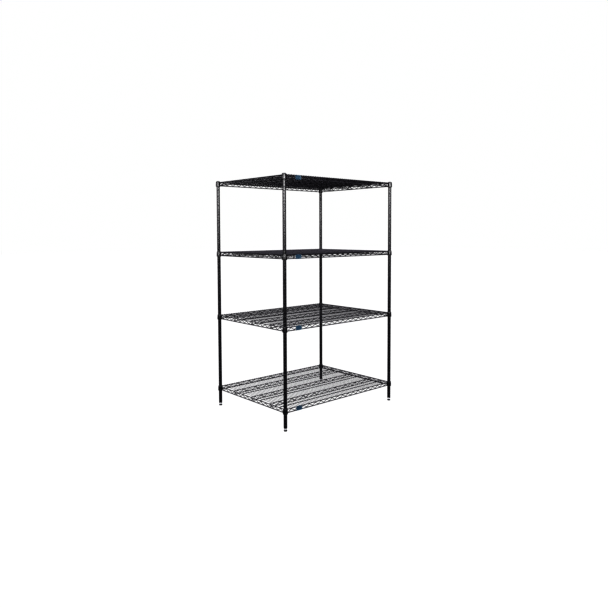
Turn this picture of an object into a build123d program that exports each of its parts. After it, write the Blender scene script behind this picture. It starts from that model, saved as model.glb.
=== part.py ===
from build123d import *
import math
import os

# Free-standing wire rack with four shelves on four grooved posts, in millimetres.
# X runs along the long side, Y from the front to the back, and Z up.
# The origin is on the floor, at the centre of the four posts.

# ---- Driving dimensions of the rack ----
POST_SPACING_X = 1174.0
POST_SPACING_Y = 869.0
GROOVE_PITCH = 25.4
FIRST_GROOVE_Z = 46.4
# Each shelf is clipped at one groove, counted up from the lowest one.
SHELF_GROOVES = {"bottom": 4, "lower": 28, "upper": 49, "top": 72}

# ---- Posts ----
POST_RADIUS = 12.7
POST_WALL = 1.2
POST_BOTTOM_Z = 24.0
POST_TOP_Z = 1896.0
GROOVE_DEPTH = 0.7
GROOVE_WIDTH = 2.8

# ---- Post caps and foot inserts ----
PRESS_GAP = 0.05
CAP_HEIGHT = 4.0
CAP_PLUG_DEPTH = 16.0
CAP_PLUG_WALL = 1.6
CAP_EDGE_RADIUS = 2.6
INSERT_FLANGE_HEIGHT = 2.0
INSERT_FLANGE_RADIUS = 12.5
INSERT_DEPTH = 22.0

# ---- Levelling feet: a threaded stem with a hexagon, turning in a moulded pad ----
PAD_HEIGHT = 11.0
PAD_BASE_RADIUS = 12.0
PAD_TOP_RADIUS = 10.6
THREAD_RADIUS = 4.76
THREAD_LENGTH = 30.0
THREAD_GAP = 0.05
HEX_ACROSS_FLATS = 14.3
HEX_SEAT_GAP = 0.2
STEM_PIN_RADIUS = 4.0
STEM_PIN_BOTTOM_Z = 4.2
STEM_BEAD_RADIUS = 5.0
STEM_BEAD_HEIGHT = 2.2
PIN_GAP = 0.1

# ---- Split sleeves and the corner collars that wedge onto them ----
SLEEVE_HALF_HEIGHT = 21.0
SLEEVE_BOTTOM_RADIUS = 16.2
SLEEVE_TOP_RADIUS = 14.8
SLEEVE_BORE_GAP = 0.03
SLEEVE_SPLIT = 1.0
COLLAR_HALF_HEIGHT = 19.0
COLLAR_WALL = 2.2
COLLAR_GAP = 0.03

# ---- Shelf wires ----
RAIL_RADIUS = 3.2
RAIL_OFFSET_Z = 12.7
TRUSS_WIRE_RADIUS = 2.1
TRUSS_HALF_PITCH = 30.15
TRUSS_BEND_RADIUS = 6.0
FRONT_TRUSS_LEGS = 37
SIDE_TRUSS_LEGS = 27
DECK_WIRE_RADIUS = 1.55
DECK_WIRE_COUNT = 48
RIB_WIRE_RADIUS = 2.7
RIB_PITCH = 240.0
RIB_TRUSS_LEGS = 38
WELD_GAP = 0.03

# ---- Clip-on tag on each front rail ----
TAG_WIDTH = 54.0
TAG_THICKNESS = 1.6
TAG_HALF_HEIGHT = 15.2
TAG_CLIP_GAP = 0.1
TAG_CLIP_WALL = 1.3
TAG_TOP_CLIP_WIDTH = 15.0
TAG_CLIP_WRAP_DEG = 35.0

# ---- Derived dimensions ----
CORNERS = {
    "front_left": (-POST_SPACING_X / 2, -POST_SPACING_Y / 2),
    "front_right": (POST_SPACING_X / 2, -POST_SPACING_Y / 2),
    "back_left": (-POST_SPACING_X / 2, POST_SPACING_Y / 2),
    "back_right": (POST_SPACING_X / 2, POST_SPACING_Y / 2),
}
GROOVE_COUNT = max(SHELF_GROOVES.values()) + 1
POST_BORE_RADIUS = POST_RADIUS - POST_WALL
DECK_PITCH = POST_SPACING_X / (DECK_WIRE_COUNT + 1)
DECK_WIRE_Z = RAIL_OFFSET_Z + RAIL_RADIUS + WELD_GAP + DECK_WIRE_RADIUS
DECK_WIRE_LENGTH = POST_SPACING_Y + 2 * RAIL_RADIUS
RIB_TOP_Z = DECK_WIRE_Z - DECK_WIRE_RADIUS - WELD_GAP - RIB_WIRE_RADIUS
RIB_BOTTOM_Z = -RAIL_OFFSET_Z
INSERT_BOTTOM_Z = POST_BOTTOM_Z - INSERT_FLANGE_HEIGHT
# The tag sits half a deck pitch off the fifth deck wire, so its top clip passes between two wires.
TAG_X = -POST_SPACING_X / 2 + 5.5 * DECK_PITCH


def sleeve_radius(z):
    """Outer radius of the tapered sleeve at a height above its own middle."""
    share = (z + SLEEVE_HALF_HEIGHT) / (2 * SLEEVE_HALF_HEIGHT)
    return SLEEVE_BOTTOM_RADIUS + share * (SLEEVE_TOP_RADIUS - SLEEVE_BOTTOM_RADIUS)


def collar_bore_radius(z):
    """Inner radius of the tapered collar at a height above its middle."""
    return sleeve_radius(z) + COLLAR_GAP


def shelf_z(shelf):
    """Height of the groove that a shelf is clipped at."""
    return FIRST_GROOVE_Z + GROOVE_PITCH * SHELF_GROOVES[shelf]


def turned(points):
    """Solid of revolution about Z from (radius, height) points."""
    outline = Polyline(*[(r, 0, z) for r, z in points], close=True)
    return revolve(make_face(outline), axis=Axis.Z, revolution_arc=360)


def rod(start, end, radius):
    """Straight round wire between two points."""
    direction = Vector(*end) - Vector(*start)
    return extrude(Plane(origin=start, z_dir=direction) * Circle(radius), direction.length)


# ---- Posts and what is pressed into their ends ----
def post():
    """Tube with a shallow rolled groove every GROOVE_PITCH."""
    outline = [(POST_BORE_RADIUS, POST_BOTTOM_Z), (POST_RADIUS, POST_BOTTOM_Z)]
    for number in range(GROOVE_COUNT):
        z = FIRST_GROOVE_Z + GROOVE_PITCH * number
        outline.append((POST_RADIUS, z - GROOVE_WIDTH / 2))
        outline.append((POST_RADIUS - GROOVE_DEPTH, z - GROOVE_WIDTH / 4))
        outline.append((POST_RADIUS - GROOVE_DEPTH, z + GROOVE_WIDTH / 4))
        outline.append((POST_RADIUS, z + GROOVE_WIDTH / 2))
    outline.append((POST_RADIUS, POST_TOP_Z))
    outline.append((POST_BORE_RADIUS, POST_TOP_Z))
    return turned(outline)


def post_cap():
    """Rounded head with a hollow plug inside the top of the tube."""
    head = Pos(0, 0, POST_TOP_Z + WELD_GAP) * Cylinder(
        POST_RADIUS, CAP_HEIGHT, align=(Align.CENTER, Align.CENTER, Align.MIN)
    )
    head = fillet(head.edges().sort_by(Axis.Z)[-1], CAP_EDGE_RADIUS)
    plug_radius = POST_BORE_RADIUS - PRESS_GAP
    plug = Pos(0, 0, POST_TOP_Z + WELD_GAP) * Cylinder(
        plug_radius, CAP_PLUG_DEPTH, align=(Align.CENTER, Align.CENTER, Align.MAX)
    )
    hollow = Pos(0, 0, POST_TOP_Z + WELD_GAP) * Cylinder(
        plug_radius - CAP_PLUG_WALL, CAP_PLUG_DEPTH, align=(Align.CENTER, Align.CENTER, Align.MAX)
    )
    return head + (plug - hollow)


def foot_insert():
    """Threaded nut-like plug that closes the bottom of the tube."""
    bore = THREAD_RADIUS + THREAD_GAP
    plug_radius = POST_BORE_RADIUS - PRESS_GAP
    top = POST_BOTTOM_Z + INSERT_DEPTH
    lip = POST_BOTTOM_Z - WELD_GAP
    return turned(
        [
            (bore, INSERT_BOTTOM_Z),
            (INSERT_FLANGE_RADIUS - 0.8, INSERT_BOTTOM_Z),
            (INSERT_FLANGE_RADIUS, INSERT_BOTTOM_Z + 0.8),
            (INSERT_FLANGE_RADIUS, lip),
            (plug_radius, lip),
            (plug_radius, top - 1.0),
            (plug_radius - 1.0, top),
            (bore, top),
        ]
    )


# ---- Levelling feet ----
def foot_stem():
    """Threaded rod, wrench hexagon and the beaded pin that turns in the pad."""
    hex_bottom = PAD_HEIGHT + HEX_SEAT_GAP
    hex_top = INSERT_BOTTOM_Z - HEX_SEAT_GAP
    bead_top = STEM_PIN_BOTTOM_Z + STEM_BEAD_HEIGHT
    shaft = turned(
        [
            (0, STEM_PIN_BOTTOM_Z),
            (STEM_BEAD_RADIUS, STEM_PIN_BOTTOM_Z),
            (STEM_BEAD_RADIUS, bead_top),
            (STEM_PIN_RADIUS, bead_top + 1.0),
            (STEM_PIN_RADIUS, hex_bottom + 1.0),
            (THREAD_RADIUS, hex_bottom + 1.0),
            (THREAD_RADIUS, hex_top + THREAD_LENGTH - 1.0),
            (THREAD_RADIUS - 1.0, hex_top + THREAD_LENGTH),
            (0, hex_top + THREAD_LENGTH),
        ]
    )
    corner_radius = HEX_ACROSS_FLATS / math.sqrt(3)
    flats = Pos(0, 0, hex_bottom) * extrude(RegularPolygon(corner_radius, 6), hex_top - hex_bottom)
    chamfer_height = 0.8
    rounding = turned(
        [
            (0, hex_bottom),
            (HEX_ACROSS_FLATS / 2, hex_bottom),
            (corner_radius + 0.1, hex_bottom + chamfer_height),
            (corner_radius + 0.1, hex_top - chamfer_height),
            (HEX_ACROSS_FLATS / 2, hex_top),
            (0, hex_top),
        ]
    )
    return shaft + (flats & rounding)


def foot_pad():
    """Moulded pad on the floor, with a captive socket for the stem's bead."""
    bead_low = STEM_PIN_BOTTOM_Z - PIN_GAP
    bead_high = STEM_PIN_BOTTOM_Z + STEM_BEAD_HEIGHT + PIN_GAP
    bead_radius = STEM_BEAD_RADIUS + PIN_GAP
    pin_radius = STEM_PIN_RADIUS + PIN_GAP
    return turned(
        [
            (0, 0),
            (PAD_BASE_RADIUS - 1.5, 0),
            (PAD_BASE_RADIUS, 1.5),
            (PAD_BASE_RADIUS, 5.0),
            (PAD_TOP_RADIUS, PAD_HEIGHT - 1.2),
            (PAD_TOP_RADIUS - 1.2, PAD_HEIGHT),
            (pin_radius, PAD_HEIGHT),
            (pin_radius, bead_high + 1.0),
            (bead_radius, bead_high),
            (bead_radius, bead_low),
            (0, bead_low),
        ]
    )


# ---- Corner joints ----
def sleeve_halves(z):
    """Two half shells around a post, with an inner ridge that sits in its groove."""
    bore = POST_RADIUS + SLEEVE_BORE_GAP
    ridge = POST_RADIUS - GROOVE_DEPTH + SLEEVE_BORE_GAP
    half_ridge = GROOVE_WIDTH / 2 - 2 * SLEEVE_BORE_GAP
    shell = turned(
        [
            (bore, z - SLEEVE_HALF_HEIGHT),
            (SLEEVE_BOTTOM_RADIUS, z - SLEEVE_HALF_HEIGHT),
            (SLEEVE_TOP_RADIUS, z + SLEEVE_HALF_HEIGHT),
            (bore, z + SLEEVE_HALF_HEIGHT),
            (bore, z + half_ridge),
            (ridge, z + half_ridge / 2),
            (ridge, z - half_ridge / 2),
            (bore, z - half_ridge),
        ]
    )
    split = Pos(0, 0, z) * Box(3 * SLEEVE_BOTTOM_RADIUS, SLEEVE_SPLIT, 3 * SLEEVE_HALF_HEIGHT)
    return Rot(0, 0, 45) * (shell - split)


def collar(z):
    """Tapered ring of sheet steel, open at both ends, that drops over a sleeve."""
    low = -COLLAR_HALF_HEIGHT
    high = COLLAR_HALF_HEIGHT
    return turned(
        [
            (collar_bore_radius(low), z + low),
            (collar_bore_radius(low) + COLLAR_WALL, z + low),
            (collar_bore_radius(high) + COLLAR_WALL, z + high),
            (collar_bore_radius(high), z + high),
        ]
    )


# ---- Shelf wires ----
def snake(legs, low, high):
    """Zigzag wire along X in the XZ plane, its bends just clear of the rods below and above."""
    slope = math.atan2(high - low, TRUSS_HALF_PITCH)
    # A rounded bend stays inside its sharp corner by this much.
    lost = TRUSS_BEND_RADIUS * (1 / math.cos(slope) - 1)
    start = -legs * TRUSS_HALF_PITCH / 2
    corners = []
    for number in range(legs + 1):
        z = high + lost if number % 2 else low - lost
        corners.append((start + number * TRUSS_HALF_PITCH, 0, z))
    path = FilletPolyline(*corners, radius=TRUSS_BEND_RADIUS)
    section = Plane(origin=path @ 0, z_dir=path % 0) * Circle(TRUSS_WIRE_RADIUS)
    return sweep(section, path=path)


def side_truss(length, legs):
    """Two rails and the zigzag between them, along X, centred on the origin."""
    solids = []
    for z in (-RAIL_OFFSET_Z, RAIL_OFFSET_Z):
        collar_radius = collar_bore_radius(z - RAIL_RADIUS) + COLLAR_WALL
        end = length / 2 - collar_radius - WELD_GAP
        solids.append(rod((-end, 0, z), (end, 0, z), RAIL_RADIUS))
    reach = RAIL_OFFSET_Z - RAIL_RADIUS - WELD_GAP - TRUSS_WIRE_RADIUS
    solids.append(snake(legs, -reach, reach))
    return Compound(children=solids)


def deck_wires():
    """Cross wires from front to back, lying on the front and back top rails."""
    solids = []
    for number in range(1, DECK_WIRE_COUNT + 1):
        x = -POST_SPACING_X / 2 + number * DECK_PITCH
        ends = DECK_WIRE_LENGTH / 2
        solids.append(rod((x, -ends, DECK_WIRE_Z), (x, ends, DECK_WIRE_Z), DECK_WIRE_RADIUS))
    return Compound(children=solids)


def ribs():
    """Three lengthwise stiffeners (rod, zigzag, rod) and four plain rods midway between them."""
    end = POST_SPACING_X / 2 - RAIL_RADIUS - WELD_GAP
    clear = RIB_WIRE_RADIUS + WELD_GAP + TRUSS_WIRE_RADIUS
    zigzag = snake(RIB_TRUSS_LEGS, RIB_BOTTOM_Z + clear, RIB_TOP_Z - clear)
    solids = []
    for y in (-RIB_PITCH, 0, RIB_PITCH):
        for z in (RIB_BOTTOM_Z, RIB_TOP_Z):
            solids.append(rod((-end, y, z), (end, y, z), RIB_WIRE_RADIUS))
        solids.append(Pos(0, y, 0) * zigzag)
    for step in (-1.5, -0.5, 0.5, 1.5):
        y = step * RIB_PITCH
        solids.append(rod((-end, y, RIB_TOP_Z), (end, y, RIB_TOP_Z), RIB_WIRE_RADIUS))
    return Compound(children=solids)


def tag():
    """Blank plate across the front truss, with a clip round each rail behind it."""
    rail_y = -POST_SPACING_Y / 2
    inner = RAIL_RADIUS + TAG_CLIP_GAP
    outer = inner + TAG_CLIP_WALL
    plate_back = rail_y - inner
    plate = Pos(TAG_X, plate_back, 0) * Box(
        TAG_WIDTH,
        TAG_THICKNESS,
        2 * TAG_HALF_HEIGHT,
        align=(Align.CENTER, Align.MAX, Align.CENTER),
    )
    plate = fillet(plate.edges().filter_by(Axis.Y), 3.0)
    for z, width in ((RAIL_OFFSET_Z, TAG_TOP_CLIP_WIDTH), (-RAIL_OFFSET_Z, TAG_WIDTH - 8)):
        ring = Circle(outer) - Circle(inner)
        outward = 1 if z > 0 else -1
        # The clip is open towards the middle of the truss, past TAG_CLIP_WRAP_DEG behind the rail.
        drop = outer * math.sin(math.radians(TAG_CLIP_WRAP_DEG))
        mouth = Pos(0, -outward * drop) * Rectangle(
            3 * outer, 2 * outer, align=(Align.CENTER, Align.MAX if outward > 0 else Align.MIN)
        )
        clip = extrude(Plane.YZ * (ring - mouth), width / 2, both=True)
        plate = plate + Pos(TAG_X, rail_y, z) * clip
    return plate


# ---- Write every sub-part ----
os.makedirs("parts", exist_ok=True)


def save(shape, name):
    """Write one node as its own STEP file."""
    shape.label = name
    export_step(shape, f"parts/{name}.step")


post_parts = {
    "post": post(),
    "post_cap": post_cap(),
    "foot_insert": foot_insert(),
    "foot_stem": foot_stem(),
    "foot_pad": foot_pad(),
}
for corner, (x, y) in CORNERS.items():
    for part_name, shape in post_parts.items():
        save(Pos(x, y, 0) * shape, f"{part_name}_{corner}")

long_truss = side_truss(POST_SPACING_X, FRONT_TRUSS_LEGS)
short_truss = Rot(0, 0, 90) * side_truss(POST_SPACING_Y, SIDE_TRUSS_LEGS)
all_deck_wires = deck_wires()
all_ribs = ribs()
one_tag = tag()
for shelf in SHELF_GROOVES:
    z = shelf_z(shelf)
    save(Pos(0, -POST_SPACING_Y / 2, z) * long_truss, f"{shelf}_shelf_front_truss")
    save(Pos(0, POST_SPACING_Y / 2, z) * long_truss, f"{shelf}_shelf_back_truss")
    save(Pos(-POST_SPACING_X / 2, 0, z) * short_truss, f"{shelf}_shelf_left_truss")
    save(Pos(POST_SPACING_X / 2, 0, z) * short_truss, f"{shelf}_shelf_right_truss")
    save(Pos(0, 0, z) * all_deck_wires, f"{shelf}_shelf_deck_wires")
    save(Pos(0, 0, z) * all_ribs, f"{shelf}_shelf_ribs")
    save(Pos(0, 0, z) * one_tag, f"{shelf}_shelf_tag")
    collars = [Pos(x, y, 0) * collar(z) for x, y in CORNERS.values()]
    save(Compound(children=collars), f"{shelf}_shelf_collars")
    halves = [half for x, y in CORNERS.values() for half in (Pos(x, y, 0) * sleeve_halves(z)).solids()]
    save(Compound(children=halves), f"{shelf}_shelf_sleeves")
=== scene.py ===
import math

import bmesh
import bpy
from mathutils import Matrix, Vector


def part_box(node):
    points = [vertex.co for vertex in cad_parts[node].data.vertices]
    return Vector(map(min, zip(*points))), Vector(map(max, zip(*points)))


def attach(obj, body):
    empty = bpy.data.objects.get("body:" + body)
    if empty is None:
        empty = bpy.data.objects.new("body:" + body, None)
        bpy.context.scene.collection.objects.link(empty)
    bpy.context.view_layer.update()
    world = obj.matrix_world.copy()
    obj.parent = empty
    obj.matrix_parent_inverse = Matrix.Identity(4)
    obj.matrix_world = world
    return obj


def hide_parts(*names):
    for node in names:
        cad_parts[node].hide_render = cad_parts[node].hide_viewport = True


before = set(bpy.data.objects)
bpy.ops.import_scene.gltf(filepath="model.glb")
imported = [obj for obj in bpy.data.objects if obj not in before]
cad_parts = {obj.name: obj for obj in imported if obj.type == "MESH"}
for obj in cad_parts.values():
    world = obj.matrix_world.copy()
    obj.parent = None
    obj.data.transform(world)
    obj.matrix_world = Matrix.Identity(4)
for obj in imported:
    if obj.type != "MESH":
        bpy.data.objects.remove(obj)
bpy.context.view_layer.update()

MM = 0.001

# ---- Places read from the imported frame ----
SHELVES = ("bottom", "lower", "upper", "top")
CORNERS = ("front_left", "front_right", "back_left", "back_right")


def middle(node):
    """Centre of a CAD node's box."""
    low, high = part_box(node)
    return (Vector(low) + Vector(high)) / 2


POST_AT = {c: middle(f"post_{c}") for c in CORNERS}
SHELF_Z = {s: middle(f"{s}_shelf_collars").z for s in SHELVES}
HALF_X = POST_AT["front_right"].x
HALF_Y = POST_AT["back_right"].y
POST_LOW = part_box("post_front_left")[0][2]
POST_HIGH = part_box("post_front_left")[1][2]
CAP_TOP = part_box("post_cap_front_left")[1][2]
PAD_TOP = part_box("foot_pad_front_left")[1][2]
INSERT_LOW, INSERT_HIGH = (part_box("foot_insert_front_left")[i][2] for i in (0, 1))
STEM_LOW, STEM_HIGH = (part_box("foot_stem_front_left")[i][2] for i in (0, 1))
TAG_AT = middle("bottom_shelf_tag")

# ---- Sizes, in metres ----
INCH = 25.4 * MM
POST_R = 12.7 * MM
POST_BORE = 11.5 * MM
GROOVE_DEPTH = 0.7 * MM
GROOVE_HALF = 1.4 * MM
RAIL_R = 3.2 * MM
RAIL_Z = 12.7 * MM
SNAKE_R = 2.1 * MM
SNAKE_STEP = 30.15 * MM
SNAKE_BEND = 6.0 * MM
FRONT_LEGS = 37
SIDE_LEGS = 27
DECK_R = 1.55 * MM
DECK_COUNT = 48
DECK_STEP = 2 * HALF_X / (DECK_COUNT + 1)
DECK_Z = RAIL_Z + RAIL_R + DECK_R
RIB_R = 2.7 * MM
RIB_STEP = 240.0 * MM
ROD_ROWS = [step * RIB_STEP for step in (-1.5, -0.5, 0.5, 1.5)]
RIB_TOP_Z = DECK_Z - DECK_R - RIB_R
RIB_LEGS = 38
COLLAR_HALF = 19.0 * MM
COLLAR_WALL = 2.13 * MM
COLLAR_SWELL = 0.3 * MM
SLEEVE_HALF = 21.0 * MM
SLEEVE_LOW_R = 16.2 * MM
SLEEVE_HIGH_R = 14.8 * MM
THREAD_R = 4.76 * MM
THREAD_DEPTH = 0.85 * MM
THREAD_PITCH = INCH / 16
HEX_FLATS = 14.3 * MM
TAG_HALF_WIDTH = 27.0 * MM
TAG_HALF_HEIGHT = 15.2 * MM
TAG_GAP = 0.1 * MM
FIT_GAP = 0.03 * MM
PLUG_GAP = 0.05 * MM
BEND_WELD_LONG = 3.0 * MM
BEND_WELD_WIDE = 1.25 * MM
BEND_WELD_HIGH = 1.0 * MM


def sleeve_r(z):
    """Outside of the tapered sleeve at a height above its middle."""
    share = (z + SLEEVE_HALF) / (2 * SLEEVE_HALF)
    return SLEEVE_LOW_R + share * (SLEEVE_HIGH_R - SLEEVE_LOW_R)


# ---- Mesh helpers ----
def finished(bm, name, material, body, slot, *replaced):
    """Turns a bmesh into a smooth piece that rides on a CAD body and stands for CAD nodes."""
    bmesh.ops.recalc_face_normals(bm, faces=bm.faces)
    mesh = bpy.data.meshes.new(name)
    bm.to_mesh(mesh)
    bm.free()
    mesh.materials.append(material)
    mesh.shade_smooth()
    mesh.set_sharp_from_angle(angle=math.radians(40))
    piece = bpy.data.objects.new(name, mesh)
    bpy.context.scene.collection.objects.link(piece)
    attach(piece, body)
    if replaced:
        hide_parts(*replaced)
    return piece


def join_rings(bm, rings, around=True):
    """Quads between neighbouring rings of vertices."""
    for low, high in zip(rings, rings[1:]):
        count = len(low)
        for i in range(count if around else count - 1):
            j = (i + 1) % count
            bm.faces.new(dict.fromkeys((low[i], low[j], high[j], high[i])))


def circle_point(centre, r, angle, z):
    """Point on a level circle round a vertical axis."""
    return Vector((centre.x + r * math.cos(angle), centre.y + r * math.sin(angle), z))


def lathe(bm, profile, centre, sides=48, closed=False):
    """Turns (radius, z) points round a vertical axis. A radius of 0 closes the end with a fan."""
    rings = []
    for r, z in profile:
        if r == 0:
            rings.append([bm.verts.new((centre.x, centre.y, z))] * sides)
        else:
            rings.append([
                bm.verts.new(circle_point(centre, r, 2 * math.pi * i / sides, z)) for i in range(sides)
            ])
    if closed:
        rings.append(rings[0])
    join_rings(bm, rings)


def lathe_part(bm, profile, centre, start, end, sides=20):
    """Turns a closed (radius, z) outline through part of a circle and closes both ends."""
    rings = []
    for i in range(sides + 1):
        angle = start + (end - start) * i / sides
        rings.append([bm.verts.new(circle_point(centre, r, angle, z)) for r, z in profile])
    join_rings(bm, rings)
    bm.faces.new(rings[0])
    bm.faces.new(rings[-1])


def arc(centre_r, centre_z, radius, start_deg, end_deg, steps=5):
    """Points of a rounded corner in a (radius, z) outline."""
    points = []
    for i in range(steps + 1):
        a = math.radians(start_deg + (end_deg - start_deg) * i / steps)
        points.append((centre_r + radius * math.cos(a), centre_z + radius * math.sin(a)))
    return points


def tube(bm, points, radius, across, sides=12):
    """Round wire along points in one plane. across is square to that plane. Its cut ends are eased."""
    across = Vector(across).normalized()
    places = [Vector(p) for p in points]
    first = (places[1] - places[0]).normalized()
    last = (places[-1] - places[-2]).normalized()
    ease = 0.35 * radius

    def ring(at, forward, r):
        up = forward.cross(across).normalized()
        turns = [2 * math.pi * i / sides for i in range(sides)]
        return [bm.verts.new(at + r * (math.cos(t) * across + math.sin(t) * up)) for t in turns]

    rings = [ring(places[0], first, radius - ease), ring(places[0] + ease * first, first, radius)]
    for before, place, after in zip(places, places[1:], places[2:]):
        forward = (place - before).normalized() + (after - place).normalized()
        rings.append(ring(place, forward.normalized(), radius))
    rings += [ring(places[-1] - ease * last, last, radius), ring(places[-1], last, radius - ease)]
    join_rings(bm, rings)
    bm.faces.new(rings[0])
    bm.faces.new(rings[-1])


def bead(bm, at, half_size, rows=5, sides=10):
    """Small rounded weld nugget, wider or longer along each axis as half_size says."""
    at = Vector(at)
    rings = []
    for row in range(rows + 1):
        tilt = math.pi * row / rows
        r, z = math.sin(tilt), -math.cos(tilt)
        if row in (0, rows):
            rings.append([bm.verts.new(at + Vector((0, 0, z * half_size[2])))] * sides)
            continue
        turns = [2 * math.pi * i / sides for i in range(sides)]
        rings.append([
            bm.verts.new(at + Vector((r * math.cos(t) * half_size[0], r * math.sin(t) * half_size[1],
                                      z * half_size[2])))
            for t in turns
        ])
    join_rings(bm, rings)


# ---- Materials ----
def material(name):
    """New node material, with its node tree, its shader and its object-space position."""
    made = bpy.data.materials.new(name)
    made.use_nodes = True
    tree = made.node_tree
    shader = tree.nodes["Principled BSDF"]
    place = tree.nodes.new("ShaderNodeTexCoord").outputs["Object"]
    return made, tree, shader, place


def noise(tree, place, scale, detail=2.0, roughness=0.5):
    """Fractal noise, with scale in bumps per metre."""
    node = tree.nodes.new("ShaderNodeTexNoise")
    node.inputs["Scale"].default_value = scale
    node.inputs["Detail"].default_value = detail
    node.inputs["Roughness"].default_value = roughness
    tree.links.new(place, node.inputs["Vector"])
    return node.outputs["Fac"]


def spread(tree, value, low, high, start=0.3, end=0.7):
    """Maps a 0 to 1 value onto the range low to high."""
    node = tree.nodes.new("ShaderNodeMapRange")
    node.inputs["From Min"].default_value = start
    node.inputs["From Max"].default_value = end
    node.inputs["To Min"].default_value = low
    node.inputs["To Max"].default_value = high
    tree.links.new(value, node.inputs["Value"])
    return node.outputs["Result"]


def mixed(tree, share, first, second):
    """Colour between two others. Each is a colour or another node's output."""
    node = tree.nodes.new("ShaderNodeMix")
    node.data_type = "RGBA"
    tree.links.new(share, node.inputs["Factor"])
    for socket, colour in ((node.inputs[6], first), (node.inputs[7], second)):
        if isinstance(colour, tuple):
            socket.default_value = (*colour, 1.0)
        else:
            tree.links.new(colour, socket)
    return node.outputs[2]


def times(tree, first, second):
    """Product of two values."""
    node = tree.nodes.new("ShaderNodeMath")
    node.operation = "MULTIPLY"
    for socket, value in zip(node.inputs, (first, second)):
        if isinstance(value, float):
            socket.default_value = value
        else:
            tree.links.new(value, socket)
    return node.outputs[0]


def bump(tree, shader, height, strength, depth):
    """Fine relief, with depth in metres."""
    node = tree.nodes.new("ShaderNodeBump")
    node.inputs["Strength"].default_value = strength
    node.inputs["Distance"].default_value = depth
    tree.links.new(height, node.inputs["Height"])
    tree.links.new(node.outputs["Normal"], shader.inputs["Normal"])


def facing_up(tree):
    """How far the surface faces up, from 0 to 1."""
    normal = tree.nodes.new("ShaderNodeNewGeometry").outputs["Normal"]
    split = tree.nodes.new("ShaderNodeSeparateXYZ")
    tree.links.new(normal, split.inputs[0])
    return spread(tree, split.outputs["Z"], 0.0, 1.0, 0.25, 1.0)


def epoxy():
    """Gloss black epoxy over steel: orange peel, uneven gloss, and upward faces unevenly lightened to a
    pale bluish grey, partly dust and partly a painted highlight.
    """
    made, tree, shader, place = material("black_epoxy")
    tone = noise(tree, place, 35.0, 4.0)
    coat = mixed(tree, spread(tree, tone, 0.0, 1.0), (0.0030, 0.0029, 0.0038), (0.0072, 0.0067, 0.0086))
    # Painted highlight mixed with dust: faces that point up are lightened unevenly towards a pale bluish
    # grey, as if lit from above.
    dust_and_top_sheen = times(tree, facing_up(tree), spread(tree, noise(tree, place, 160.0, 5.0, 0.65), 0.06, 0.38))
    colour = mixed(tree, dust_and_top_sheen, coat, (0.180, 0.174, 0.212))
    tree.links.new(colour, shader.inputs["Base Color"])
    gloss = noise(tree, place, 110.0, 3.0)
    tree.links.new(spread(tree, gloss, 0.20, 0.33), shader.inputs["Roughness"])
    bump(tree, shader, noise(tree, place, 900.0, 2.0), 0.25, 0.00012)
    shader.inputs["Specular IOR Level"].default_value = 0.5
    return made


def moulded(name, dark, light, roughness, grain):
    """Moulded plastic with a fine spark-eroded texture and uneven tone."""
    made, tree, shader, place = material(name)
    tone = noise(tree, place, 60.0, 4.0)
    tree.links.new(mixed(tree, spread(tree, tone, 0.0, 1.0), dark, light), shader.inputs["Base Color"])
    gloss = noise(tree, place, 220.0, 3.0)
    tree.links.new(spread(tree, gloss, roughness - 0.07, roughness + 0.07), shader.inputs["Roughness"])
    bump(tree, shader, noise(tree, place, grain, 3.0), 0.3, 0.00010)
    return made


def zinc():
    """Bright zinc plate with faint turning marks and dull patches."""
    made, tree, shader, place = material("zinc_plated_steel")
    shader.inputs["Metallic"].default_value = 0.62
    tone = noise(tree, place, 90.0, 4.0)
    colour = mixed(tree, spread(tree, tone, 0.0, 1.0), (0.62, 0.63, 0.64), (0.84, 0.85, 0.86))
    tree.links.new(colour, shader.inputs["Base Color"])
    marks = tree.nodes.new("ShaderNodeMapping")
    marks.inputs["Scale"].default_value = (0.15, 0.15, 1.0)
    tree.links.new(place, marks.inputs["Vector"])
    lines = noise(tree, marks.outputs["Vector"], 2500.0, 2.0)
    tree.links.new(spread(tree, lines, 0.24, 0.46), shader.inputs["Roughness"])
    bump(tree, shader, lines, 0.2, 0.00005)
    return made


EPOXY = epoxy()
CAP_PLASTIC = moulded("cap_plastic", (0.010, 0.010, 0.011), (0.020, 0.020, 0.021), 0.36, 1400.0)
FOOT_PLASTIC = moulded("foot_plastic", (0.012, 0.012, 0.013), (0.026, 0.026, 0.027), 0.48, 1800.0)
TAG_PLASTIC = moulded("tag_plastic", (0.024, 0.054, 0.084), (0.040, 0.076, 0.108), 0.30, 1200.0)
ZINC = zinc()


# ---- Posts ----
def groove(z):
    """Half-round rolled groove in a post, from the bottom up."""
    points = []
    for step in range(-3, 4):
        share = step / 3
        points.append((POST_R - GROOVE_DEPTH * (1 - share ** 2) ** 0.75, z + GROOVE_HALF * share))
    return points


def post(corner):
    """Tube with eased ends and a groove at every inch."""
    bm = bmesh.new()
    ease = 0.3 * MM
    profile = [(POST_BORE, POST_LOW + ease), (POST_BORE + ease, POST_LOW)]
    profile += [(POST_R - ease, POST_LOW), (POST_R, POST_LOW + ease)]
    z = SHELF_Z["bottom"]
    while z - INCH > POST_LOW + GROOVE_HALF:
        z -= INCH
    while z < POST_HIGH - GROOVE_HALF:
        profile += groove(z)
        z += INCH
    profile += [(POST_R, POST_HIGH - ease), (POST_R - ease, POST_HIGH)]
    profile += [(POST_BORE + ease, POST_HIGH), (POST_BORE, POST_HIGH - ease)]
    lathe(bm, profile, POST_AT[corner], 40, closed=True)
    finished(bm, f"post_{corner}_tube", EPOXY, "posts", "black_epoxy", f"post_{corner}")


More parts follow.
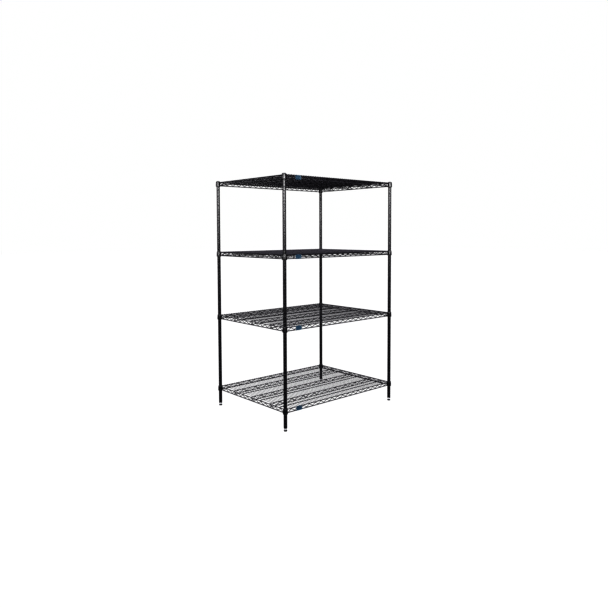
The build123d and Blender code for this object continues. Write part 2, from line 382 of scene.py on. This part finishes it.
def post_cap(corner):
    """Low domed head with a rounded edge and a hollow plug below it."""
    bm = bmesh.new()
    head_low = POST_HIGH + FIT_GAP
    plug = POST_BORE - PLUG_GAP
    plug_low = head_low - 16 * MM
    plug_wall = 1.6 * MM
    edge = 2.4 * MM
    crown = 0.5 * MM
    profile = [(0, head_low - MM), (plug - plug_wall, head_low - MM), (plug - plug_wall, plug_low)]
    profile += [(plug - 0.6 * MM, plug_low), (plug, plug_low + MM), (plug, head_low)]
    profile += [(POST_R - 0.3 * MM, head_low), (POST_R, head_low + 0.3 * MM)]
    profile += arc(POST_R - edge, CAP_TOP - crown - edge, edge, 0, 78, 6)
    profile += [(0.55 * POST_R, CAP_TOP - 0.45 * crown), (0.28 * POST_R, CAP_TOP - 0.1 * crown)]
    profile += [(0, CAP_TOP)]
    lathe(bm, profile, POST_AT[corner], 48)
    finished(bm, f"post_cap_{corner}_moulding", CAP_PLASTIC, "posts", "cap_plastic", f"post_cap_{corner}")


def foot_insert(corner):
    """Plug in the tube's lower end, with a tapered flange below it."""
    bm = bmesh.new()
    bore = THREAD_R + PLUG_GAP
    flange = 12.5 * MM
    rim = 0.9 * MM
    lead_in = 0.6 * MM
    plug = POST_BORE - PLUG_GAP
    shoulder = POST_LOW - FIT_GAP
    profile = [(bore + lead_in, INSERT_LOW)]
    profile += arc(flange - rim, INSERT_LOW + rim, rim, -90, 0, 5)
    profile += [(flange, shoulder), (plug, shoulder), (plug, INSERT_HIGH - MM), (plug - MM, INSERT_HIGH)]
    profile += [(bore, INSERT_HIGH), (bore, INSERT_LOW + lead_in)]
    lathe(bm, profile, POST_AT[corner], 40, closed=True)
    finished(bm, f"foot_insert_{corner}_plug", CAP_PLASTIC, "posts", "cap_plastic", f"foot_insert_{corner}")


# ---- Levelling feet ----
def foot_pad(corner):
    """Moulded pad with a rounded rim, two grip rings and the captive socket."""
    bm = bmesh.new()
    base = 12.0 * MM
    neck = 10.6 * MM
    pin = 4.1 * MM
    socket = 5.1 * MM
    socket_low, socket_high = 4.1 * MM, 6.5 * MM
    sole_edge = 1.6 * MM
    neck_edge = 1.4 * MM
    ring_depth = 0.5 * MM
    ring_half = 0.5 * MM
    profile = [(0, 0), (base - sole_edge - MM, 0)]
    profile += arc(base - sole_edge, sole_edge, sole_edge, -80, 0, 5)
    for ring_z in (3.4 * MM, 5.0 * MM):
        profile += [(base, ring_z - ring_half), (base - ring_depth, ring_z - ring_half / 2)]
        profile += [(base - ring_depth, ring_z + ring_half / 2), (base - 0.02 * MM, ring_z + ring_half)]
    profile += arc(neck - neck_edge, PAD_TOP - neck_edge, neck_edge, 8, 90, 5)
    profile += [(pin + 0.4 * MM, PAD_TOP), (pin, PAD_TOP - 0.4 * MM), (pin, socket_high + MM)]
    profile += [(socket, socket_high), (socket, socket_low), (0, socket_low)]
    lathe(bm, profile, POST_AT[corner], 44)
    body = f"foot_pad_{corner}"
    finished(bm, f"foot_pad_{corner}_moulding", FOOT_PLASTIC, body, "foot_plastic", f"foot_pad_{corner}")


def thread_radius(z, angle, low, high):
    """Right-hand thread that runs out at both ends."""
    flank_slope = 2.7
    phase = (z / THREAD_PITCH - angle / (2 * math.pi)) % 1.0
    ridge = min(1.0, max(0.0, flank_slope * (0.5 - abs(phase - 0.5))))
    runout = min(1.0, (z - low) / THREAD_PITCH, (high - z) / (0.8 * THREAD_PITCH))
    return THREAD_R - THREAD_DEPTH * (1 - ridge * max(0.0, runout))


def foot_stem(corner):
    """Threaded stem, chamfered hexagon and the beaded pin in the pad."""
    bm = bmesh.new()
    centre = POST_AT[corner]
    hex_low = PAD_TOP + 0.2 * MM
    hex_high = INSERT_LOW - 0.2 * MM
    bead_high = STEM_LOW + 2.2 * MM
    bead_r = 5.0 * MM
    pin_r = 4.0 * MM
    ease = 0.4 * MM
    pin = [(0, STEM_LOW), (bead_r - ease, STEM_LOW), (bead_r, STEM_LOW + ease), (bead_r, bead_high)]
    pin += [(pin_r, bead_high + MM), (pin_r, hex_low + MM), (0, hex_low + MM)]
    lathe(bm, pin, centre, 32)
    # Hexagon: each ring of points runs round the six flats, cut back by a turned chamfer.
    hex_points = 24
    rings = []
    chamfer_r, full_r = 0.49 * HEX_FLATS, 0.59 * HEX_FLATS
    levels = [(hex_low, chamfer_r), (hex_low + MM, full_r), (hex_high - MM, full_r), (hex_high, chamfer_r)]
    for z, turned_r in levels:
        ring = []
        for i in range(hex_points):
            angle = 2 * math.pi * i / hex_points
            off_flat = (angle + math.pi / 6) % (math.pi / 3) - math.pi / 6
            r = min(0.5 * HEX_FLATS / math.cos(off_flat), turned_r)
            ring.append(bm.verts.new(circle_point(centre, r, angle + math.pi / 6, z)))
        rings.append(ring)
    join_rings(bm, rings)
    bm.faces.new(rings[0])
    bm.faces.new(rings[-1])
    # Thread: a fine grid whose radius follows the helix.
    low, high = hex_high, STEM_HIGH
    rows_per_turn = 8
    rows = int((high - low) / THREAD_PITCH * rows_per_turn)
    sides = 32
    grid = []
    for row in range(rows + 1):
        z = low + (high - low) * row / rows
        grid.append([
            bm.verts.new(circle_point(centre, thread_radius(z, 2 * math.pi * i / sides, low, high),
                                      2 * math.pi * i / sides, z))
            for i in range(sides)
        ])
    join_rings(bm, grid)
    bm.faces.new(grid[0])
    bm.faces.new(grid[-1])
    body = f"foot_stem_{corner}"
    finished(bm, f"foot_stem_{corner}_screw", ZINC, body, "zinc_plated_steel", f"foot_stem_{corner}")


# ---- Corner joints of one shelf ----
def sleeves(shelf):
    """Two half shells round each post, with eased edges and an inner ridge in the groove."""
    bm = bmesh.new()
    z = SHELF_Z[shelf]
    bore = POST_R + FIT_GAP
    ease = 0.5 * MM
    ridge_r = POST_R - 0.6 * MM
    ridge_half, ridge_tip = 1.3 * MM, 0.6 * MM
    low, high = z - SLEEVE_HALF, z + SLEEVE_HALF
    outline = [(bore, low), (SLEEVE_LOW_R - ease, low), (SLEEVE_LOW_R, low + ease)]
    outline += [(SLEEVE_HIGH_R, high - ease), (SLEEVE_HIGH_R - ease, high), (bore, high)]
    outline += [(bore, z + ridge_half), (ridge_r, z + ridge_tip)]
    outline += [(ridge_r, z - ridge_tip), (bore, z - ridge_half)]
    half_slit = 0.5 * MM
    gap = math.atan(half_slit / SLEEVE_HIGH_R)
    for corner in CORNERS:
        for start in (45, 225):
            a = math.radians(start)
            lathe_part(bm, outline, POST_AT[corner], a + gap, a + math.pi - gap)
    finished(bm, f"{shelf}_shelf_sleeve_halves", CAP_PLASTIC, "posts", "cap_plastic",
             f"{shelf}_shelf_sleeves")


def collars(shelf):
    """Tapered rings with rolled lips, each with a weld round every rail that meets it."""
    bm = bmesh.new()
    z = SHELF_Z[shelf]
    wall = COLLAR_WALL
    lip = wall / 2
    inner_low = sleeve_r(-COLLAR_HALF) + FIT_GAP
    inner_high = sleeve_r(COLLAR_HALF) + FIT_GAP
    top_lip = 0.8 * lip
    outline = arc(inner_low + lip, z - COLLAR_HALF + lip, lip, 180, 360, 8)
    low_r, high_r = inner_low + wall, inner_high + 2 * top_lip
    steps = 8
    for step in range(1, steps):
        share = step / steps
        swell = 4 * share * (1 - share) * COLLAR_SWELL
        height = -COLLAR_HALF + lip + share * (2 * COLLAR_HALF - lip - top_lip)
        outline.append((low_r + share * (high_r - low_r) + swell, z + height))
    outline += arc(inner_high + top_lip, z + COLLAR_HALF - top_lip, top_lip, 0, 180, 8)
    weld_flat, weld_round = 1.9 * MM, 4.1 * MM
    for corner in CORNERS:
        at = POST_AT[corner]
        lathe(bm, outline, at, 48, closed=True)
        inward_x = -math.copysign(1, at.x)
        inward_y = -math.copysign(1, at.y)
        for rail_z in (-RAIL_Z, RAIL_Z):
            out = sleeve_r(rail_z) + wall + 0.6 * MM
            lengthwise_end = (at.x + inward_x * out, at.y, z + rail_z)
            crosswise_end = (at.x, at.y + inward_y * out, z + rail_z)
            bead(bm, lengthwise_end, (weld_flat, weld_round, weld_round), 7, 14)
            bead(bm, crosswise_end, (weld_round, weld_flat, weld_round), 7, 14)
    finished(bm, f"{shelf}_shelf_collar_rings", EPOXY, f"{shelf}_shelf", "black_epoxy",
             f"{shelf}_shelf_collars")


# ---- Wires of one shelf ----
def snake_path(legs, low, high):
    """(distance, height) points of a zigzag wire with rounded bends, centred on 0."""
    slope = math.atan2(high - low, SNAKE_STEP)
    hub = SNAKE_BEND / math.cos(slope)
    lost = hub - SNAKE_BEND
    start = -legs * SNAKE_STEP / 2
    points = [(start, low - lost)]
    for number in range(1, legs):
        side = 1 if number % 2 else -1
        tip = high + lost if side > 0 else low - lost
        along = start + number * SNAKE_STEP
        for step in range(5):
            a = slope * (1 - step / 2)
            points.append((along - SNAKE_BEND * math.sin(a), tip - side * (hub - SNAKE_BEND * math.cos(a))))
    points.append((start + legs * SNAKE_STEP, high + lost if legs % 2 else low - lost))
    return points


def truss(shelf, side):
    """Top and bottom rails with a zigzag between them, spot-welded at each bend."""
    bm = bmesh.new()
    z = SHELF_Z[shelf]
    lengthwise = side in ("front", "back")
    sign = -1 if side in ("front", "left") else 1
    half = HALF_X if lengthwise else HALF_Y
    legs = FRONT_LEGS if lengthwise else SIDE_LEGS

    def at(along, height):
        if lengthwise:
            return (along, sign * HALF_Y, z + height)
        return (sign * HALF_X, along, z + height)

    across = (0, 1, 0) if lengthwise else (1, 0, 0)
    for rail_z in (-RAIL_Z, RAIL_Z):
        end = half - sleeve_r(rail_z) - COLLAR_WALL - 0.1 * MM
        tube(bm, [at(-end, rail_z), at(0, rail_z), at(end, rail_z)], RAIL_R, across, 20)
    reach = RAIL_Z - RAIL_R - SNAKE_R
    path = snake_path(legs, -reach, reach)
    tube(bm, [at(*p) for p in path], SNAKE_R, across, 12)
    for number in range(1, legs):
        along = (number - legs / 2) * SNAKE_STEP
        height = (reach + SNAKE_R) * (1 if number % 2 else -1)
        size = (BEND_WELD_LONG, BEND_WELD_WIDE) if lengthwise else (BEND_WELD_WIDE, BEND_WELD_LONG)
        bead(bm, at(along, height), (*size, BEND_WELD_HIGH))
    finished(bm, f"{shelf}_shelf_{side}_wires", EPOXY, f"{shelf}_shelf", "black_epoxy",
             f"{shelf}_shelf_{side}_truss")


def deck(shelf):
    """Cross wires with a spot weld on each rail and rib that they lie on."""
    bm = bmesh.new()
    z = SHELF_Z[shelf]
    end = HALF_Y + RAIL_R
    weld = (1.7 * MM, 1.9 * MM, 0.8 * MM)
    for number in range(1, DECK_COUNT + 1):
        x = -HALF_X + number * DECK_STEP
        level = z + DECK_Z
        tube(bm, [(x, -end, level), (x, 0, level), (x, end, level)], DECK_R, (1, 0, 0), 14)
        for y in (-HALF_Y, -RIB_STEP, 0, RIB_STEP, HALF_Y, *ROD_ROWS):
            bead(bm, (x, y, level - DECK_R), weld)
    finished(bm, f"{shelf}_shelf_deck_grille", EPOXY, f"{shelf}_shelf", "black_epoxy",
             f"{shelf}_shelf_deck_wires")


def ribs(shelf):
    """Three stiffeners under the deck, each a rod, a zigzag and a rod, and four plain rods."""
    bm = bmesh.new()
    z = SHELF_Z[shelf]
    end = HALF_X - RAIL_R - FIT_GAP
    end_weld = (1.2 * MM, 3.0 * MM, 2.6 * MM)
    bend_weld = (BEND_WELD_LONG, BEND_WELD_WIDE, BEND_WELD_HIGH)

    def rod(y, level):
        tube(bm, [(-end, y, level), (0, y, level), (end, y, level)], RIB_R, (0, 1, 0), 16)
        for sign in (-1, 1):
            bead(bm, (sign * end, y, level), end_weld)

    low = -RAIL_Z + RIB_R + SNAKE_R
    high = RIB_TOP_Z - RIB_R - SNAKE_R
    path = snake_path(RIB_LEGS, low, high)
    for y in (-RIB_STEP, 0, RIB_STEP):
        rod(y, z - RAIL_Z)
        rod(y, z + RIB_TOP_Z)
        tube(bm, [(x, y, z + height) for x, height in path], SNAKE_R, (0, 1, 0), 12)
        for number in range(1, RIB_LEGS):
            height = high + SNAKE_R if number % 2 else low - SNAKE_R
            bead(bm, ((number - RIB_LEGS / 2) * SNAKE_STEP, y, z + height), bend_weld)
    for y in ROD_ROWS:
        rod(y, z + RIB_TOP_Z)
    finished(bm, f"{shelf}_shelf_rib_wires", EPOXY, f"{shelf}_shelf", "black_epoxy", f"{shelf}_shelf_ribs")


# ---- Blank tag on one shelf ----
def rounded_outline(half_width, half_height, corner):
    """Points round a rectangle with rounded corners."""
    points = []
    for turn, (sx, sz) in enumerate(((1, 1), (-1, 1), (-1, -1), (1, -1))):
        hub = (sx * (half_width - corner), sz * (half_height - corner))
        for step in range(6):
            a = math.radians(90 * turn + 18 * step)
            points.append((hub[0] + corner * math.cos(a), hub[1] + corner * math.sin(a)))
    return points


def tag(shelf):
    """Snap-on plate with a raised border round a plain field, and a clip behind each rail."""
    bm = bmesh.new()
    z = SHELF_Z[shelf]
    back = -HALF_Y - RAIL_R - TAG_GAP
    thickness = 1.6 * MM
    front = back - thickness
    corner = 3.0 * MM
    loops = []
    # Inset from the plate's edge and place in Y of each loop, from the back round to the plain field.
    steps = ((0.0, back), (0.0, front + 0.5 * MM), (0.15 * MM, front + 0.15 * MM), (0.5 * MM, front),
             (1.9 * MM, front), (2.3 * MM, front + 0.45 * MM), (2.6 * MM, front + 0.5 * MM))
    for inset, y in steps:
        outline = rounded_outline(TAG_HALF_WIDTH - inset, TAG_HALF_HEIGHT - inset, corner - inset * 0.9)
        loops.append([bm.verts.new((TAG_AT.x + x, y, z + height)) for x, height in outline])
    join_rings(bm, loops)
    bm.faces.new(loops[0])
    bm.faces.new(loops[-1])
    inner = RAIL_R + TAG_GAP
    clip_wall = 1.3 * MM
    outer = inner + clip_wall
    clip_steps = 12
    for level, width, first, last in ((RAIL_Z, 15 * MM, 180, -32), (-RAIL_Z, 46 * MM, 180, 392)):
        section = []
        for r, turns in ((outer, range(clip_steps + 1)), (inner, range(clip_steps, -1, -1))):
            for step in turns:
                a = math.radians(first + (last - first) * step / clip_steps)
                section.append((-HALF_Y + r * math.cos(a), z + level + r * math.sin(a)))
        ends = []
        for x in (TAG_AT.x - width / 2, TAG_AT.x + width / 2):
            ends.append([bm.verts.new((x, y, height)) for y, height in section])
        join_rings(bm, ends)
        bm.faces.new(ends[0])
        bm.faces.new(ends[1])
    finished(bm, f"{shelf}_shelf_blank_tag", TAG_PLASTIC, f"{shelf}_shelf", "tag_plastic",
             f"{shelf}_shelf_tag")


for corner in CORNERS:
    post(corner)
    post_cap(corner)
    foot_insert(corner)
    foot_pad(corner)
    foot_stem(corner)
for shelf in SHELVES:
    sleeves(shelf)
    collars(shelf)
    for side in ("front", "back", "left", "right"):
        truss(shelf, side)
    deck(shelf)
    ribs(shelf)
    tag(shelf)


# ---- Floor ----
def floor():
    """Pale studio floor that runs out to the white surroundings."""
    bm = bmesh.new()
    bmesh.ops.create_grid(bm, x_segments=8, y_segments=8, size=40.0)
    mesh = bpy.data.meshes.new("floor")
    bm.to_mesh(mesh)
    bm.free()
    made, tree, shader, place = material("floor_paint")
    share = spread(tree, noise(tree, place, 3.0, 3.0), 0.0, 1.0)
    tone = mixed(tree, share, (0.030, 0.030, 0.030), (0.034, 0.034, 0.034))
    tree.links.new(tone, shader.inputs["Base Color"])
    shader.inputs["Roughness"].default_value = 0.9
    shader.inputs["Specular IOR Level"].default_value = 0.1
    shader.inputs["Emission Color"].default_value = (1.0, 1.0, 1.0, 1.0)
    shader.inputs["Emission Strength"].default_value = 0.95
    mesh.materials.append(made)
    sheet = bpy.data.objects.new("floor", mesh)
    bpy.context.scene.collection.objects.link(sheet)
    # The camera sees the floor, but it throws no light onto the rack, as over a dark stage.
    sheet.visible_diffuse = False
    sheet.visible_glossy = False


# ---- Light ----
def soft_box(name, bearing, away, low_edge, high_edge, width, level):
    """Upright soft box that faces the rack's axis. Bearing is in degrees from +X, level is its radiance."""
    height = high_edge - low_edge
    light = bpy.data.lights.new(name, "AREA")
    light.shape = "RECTANGLE"
    light.size = width
    light.size_y = height
    light.energy = level * math.pi * width * height
    lamp = bpy.data.objects.new(name, light)
    bpy.context.scene.collection.objects.link(lamp)
    turn = math.radians(bearing)
    lamp.location = (away * math.cos(turn), away * math.sin(turn), low_edge + height / 2)
    lamp.rotation_euler = Vector((-math.cos(turn), -math.sin(turn), 0)).to_track_quat("-Z", "Y").to_euler()
    lamp.visible_camera = False


def lights():
    """Three wide boxes from eye level up, a higher one for the collars and a faint one behind."""
    wide = {"away": 7.0, "low_edge": 1.55, "high_edge": 3.35, "width": 5.4, "level": 12.0}
    for name, bearing in (("left_box", 183), ("middle_box", 228), ("right_box", 273)):
        soft_box(name, bearing, **wide)
    soft_box("high_box", 233, away=6.6, low_edge=2.4, high_edge=3.5, width=5.0, level=25.0)
    soft_box("back_box", 127, away=8.0, low_edge=0.3, high_edge=4.0, width=4.6, level=2.0)


def surroundings():
    """White to the camera. To the object, dark below the horizon and brighter overhead."""
    world = bpy.data.worlds.new("studio")
    bpy.context.scene.world = world
    world.use_nodes = True
    tree = world.node_tree
    tree.nodes.clear()
    out = tree.nodes.new("ShaderNodeOutputWorld")
    seen = tree.nodes.new("ShaderNodeBackground")
    seen.inputs["Color"].default_value = (1.0, 1.0, 1.0, 1.0)
    seen.inputs["Strength"].default_value = 1.0
    felt = tree.nodes.new("ShaderNodeBackground")
    split = tree.nodes.new("ShaderNodeSeparateXYZ")
    tree.links.new(tree.nodes.new("ShaderNodeTexCoord").outputs["Generated"], split.inputs[0])
    ramp = tree.nodes.new("ShaderNodeValToRGB")
    # Height of the direction, as its sine, and the brightness there.
    stops = ((0.0, 0.20), (0.05, 0.24), (0.40, 0.6), (0.80, 1.6))
    while len(ramp.color_ramp.elements) < len(stops):
        ramp.color_ramp.elements.new(0.5)
    for element, (height, level) in zip(ramp.color_ramp.elements, stops):
        element.position = height
        element.color = (level, 0.97 * level, 1.07 * level, 1.0)
    tree.links.new(split.outputs["Z"], ramp.inputs["Fac"])
    tree.links.new(ramp.outputs["Color"], felt.inputs["Color"])
    felt.inputs["Strength"].default_value = 1.0
    path = tree.nodes.new("ShaderNodeLightPath")
    mix = tree.nodes.new("ShaderNodeMixShader")
    tree.links.new(path.outputs["Is Camera Ray"], mix.inputs["Fac"])
    tree.links.new(felt.outputs[0], mix.inputs[1])
    tree.links.new(seen.outputs[0], mix.inputs[2])
    tree.links.new(mix.outputs[0], out.inputs["Surface"])


# ---- Camera ----
def camera():
    """Stands off the front left corner at chest height and looks across the rack."""
    lens_px = 572.4
    frame_px = 608
    shift_px = 39.5
    data = bpy.data.cameras.new("camera")
    data.sensor_width = 36.0
    data.lens = 36.0 * lens_px / frame_px
    data.shift_y = -shift_px / frame_px
    cam = bpy.data.objects.new("camera", data)
    bpy.context.scene.collection.objects.link(cam)
    cam.location = (-3.2375, -3.6534, 1.4703)
    yaw, pitch, roll = math.radians(41.415), math.radians(-3.21), math.radians(0.203)
    turn = Matrix.Rotation(-yaw, 4, "Z") @ Matrix.Rotation(math.pi / 2 + pitch, 4, "X")
    cam.rotation_euler = (turn @ Matrix.Rotation(-roll, 4, "Z")).to_euler()
    bpy.context.scene.camera = cam


floor()
surroundings()
camera()
lights()
bpy.context.scene.view_settings.view_transform = "Standard"
# A gamma below 1 keeps thin dark wires dark where they lie over white.
bpy.context.scene.view_settings.gamma = 0.5
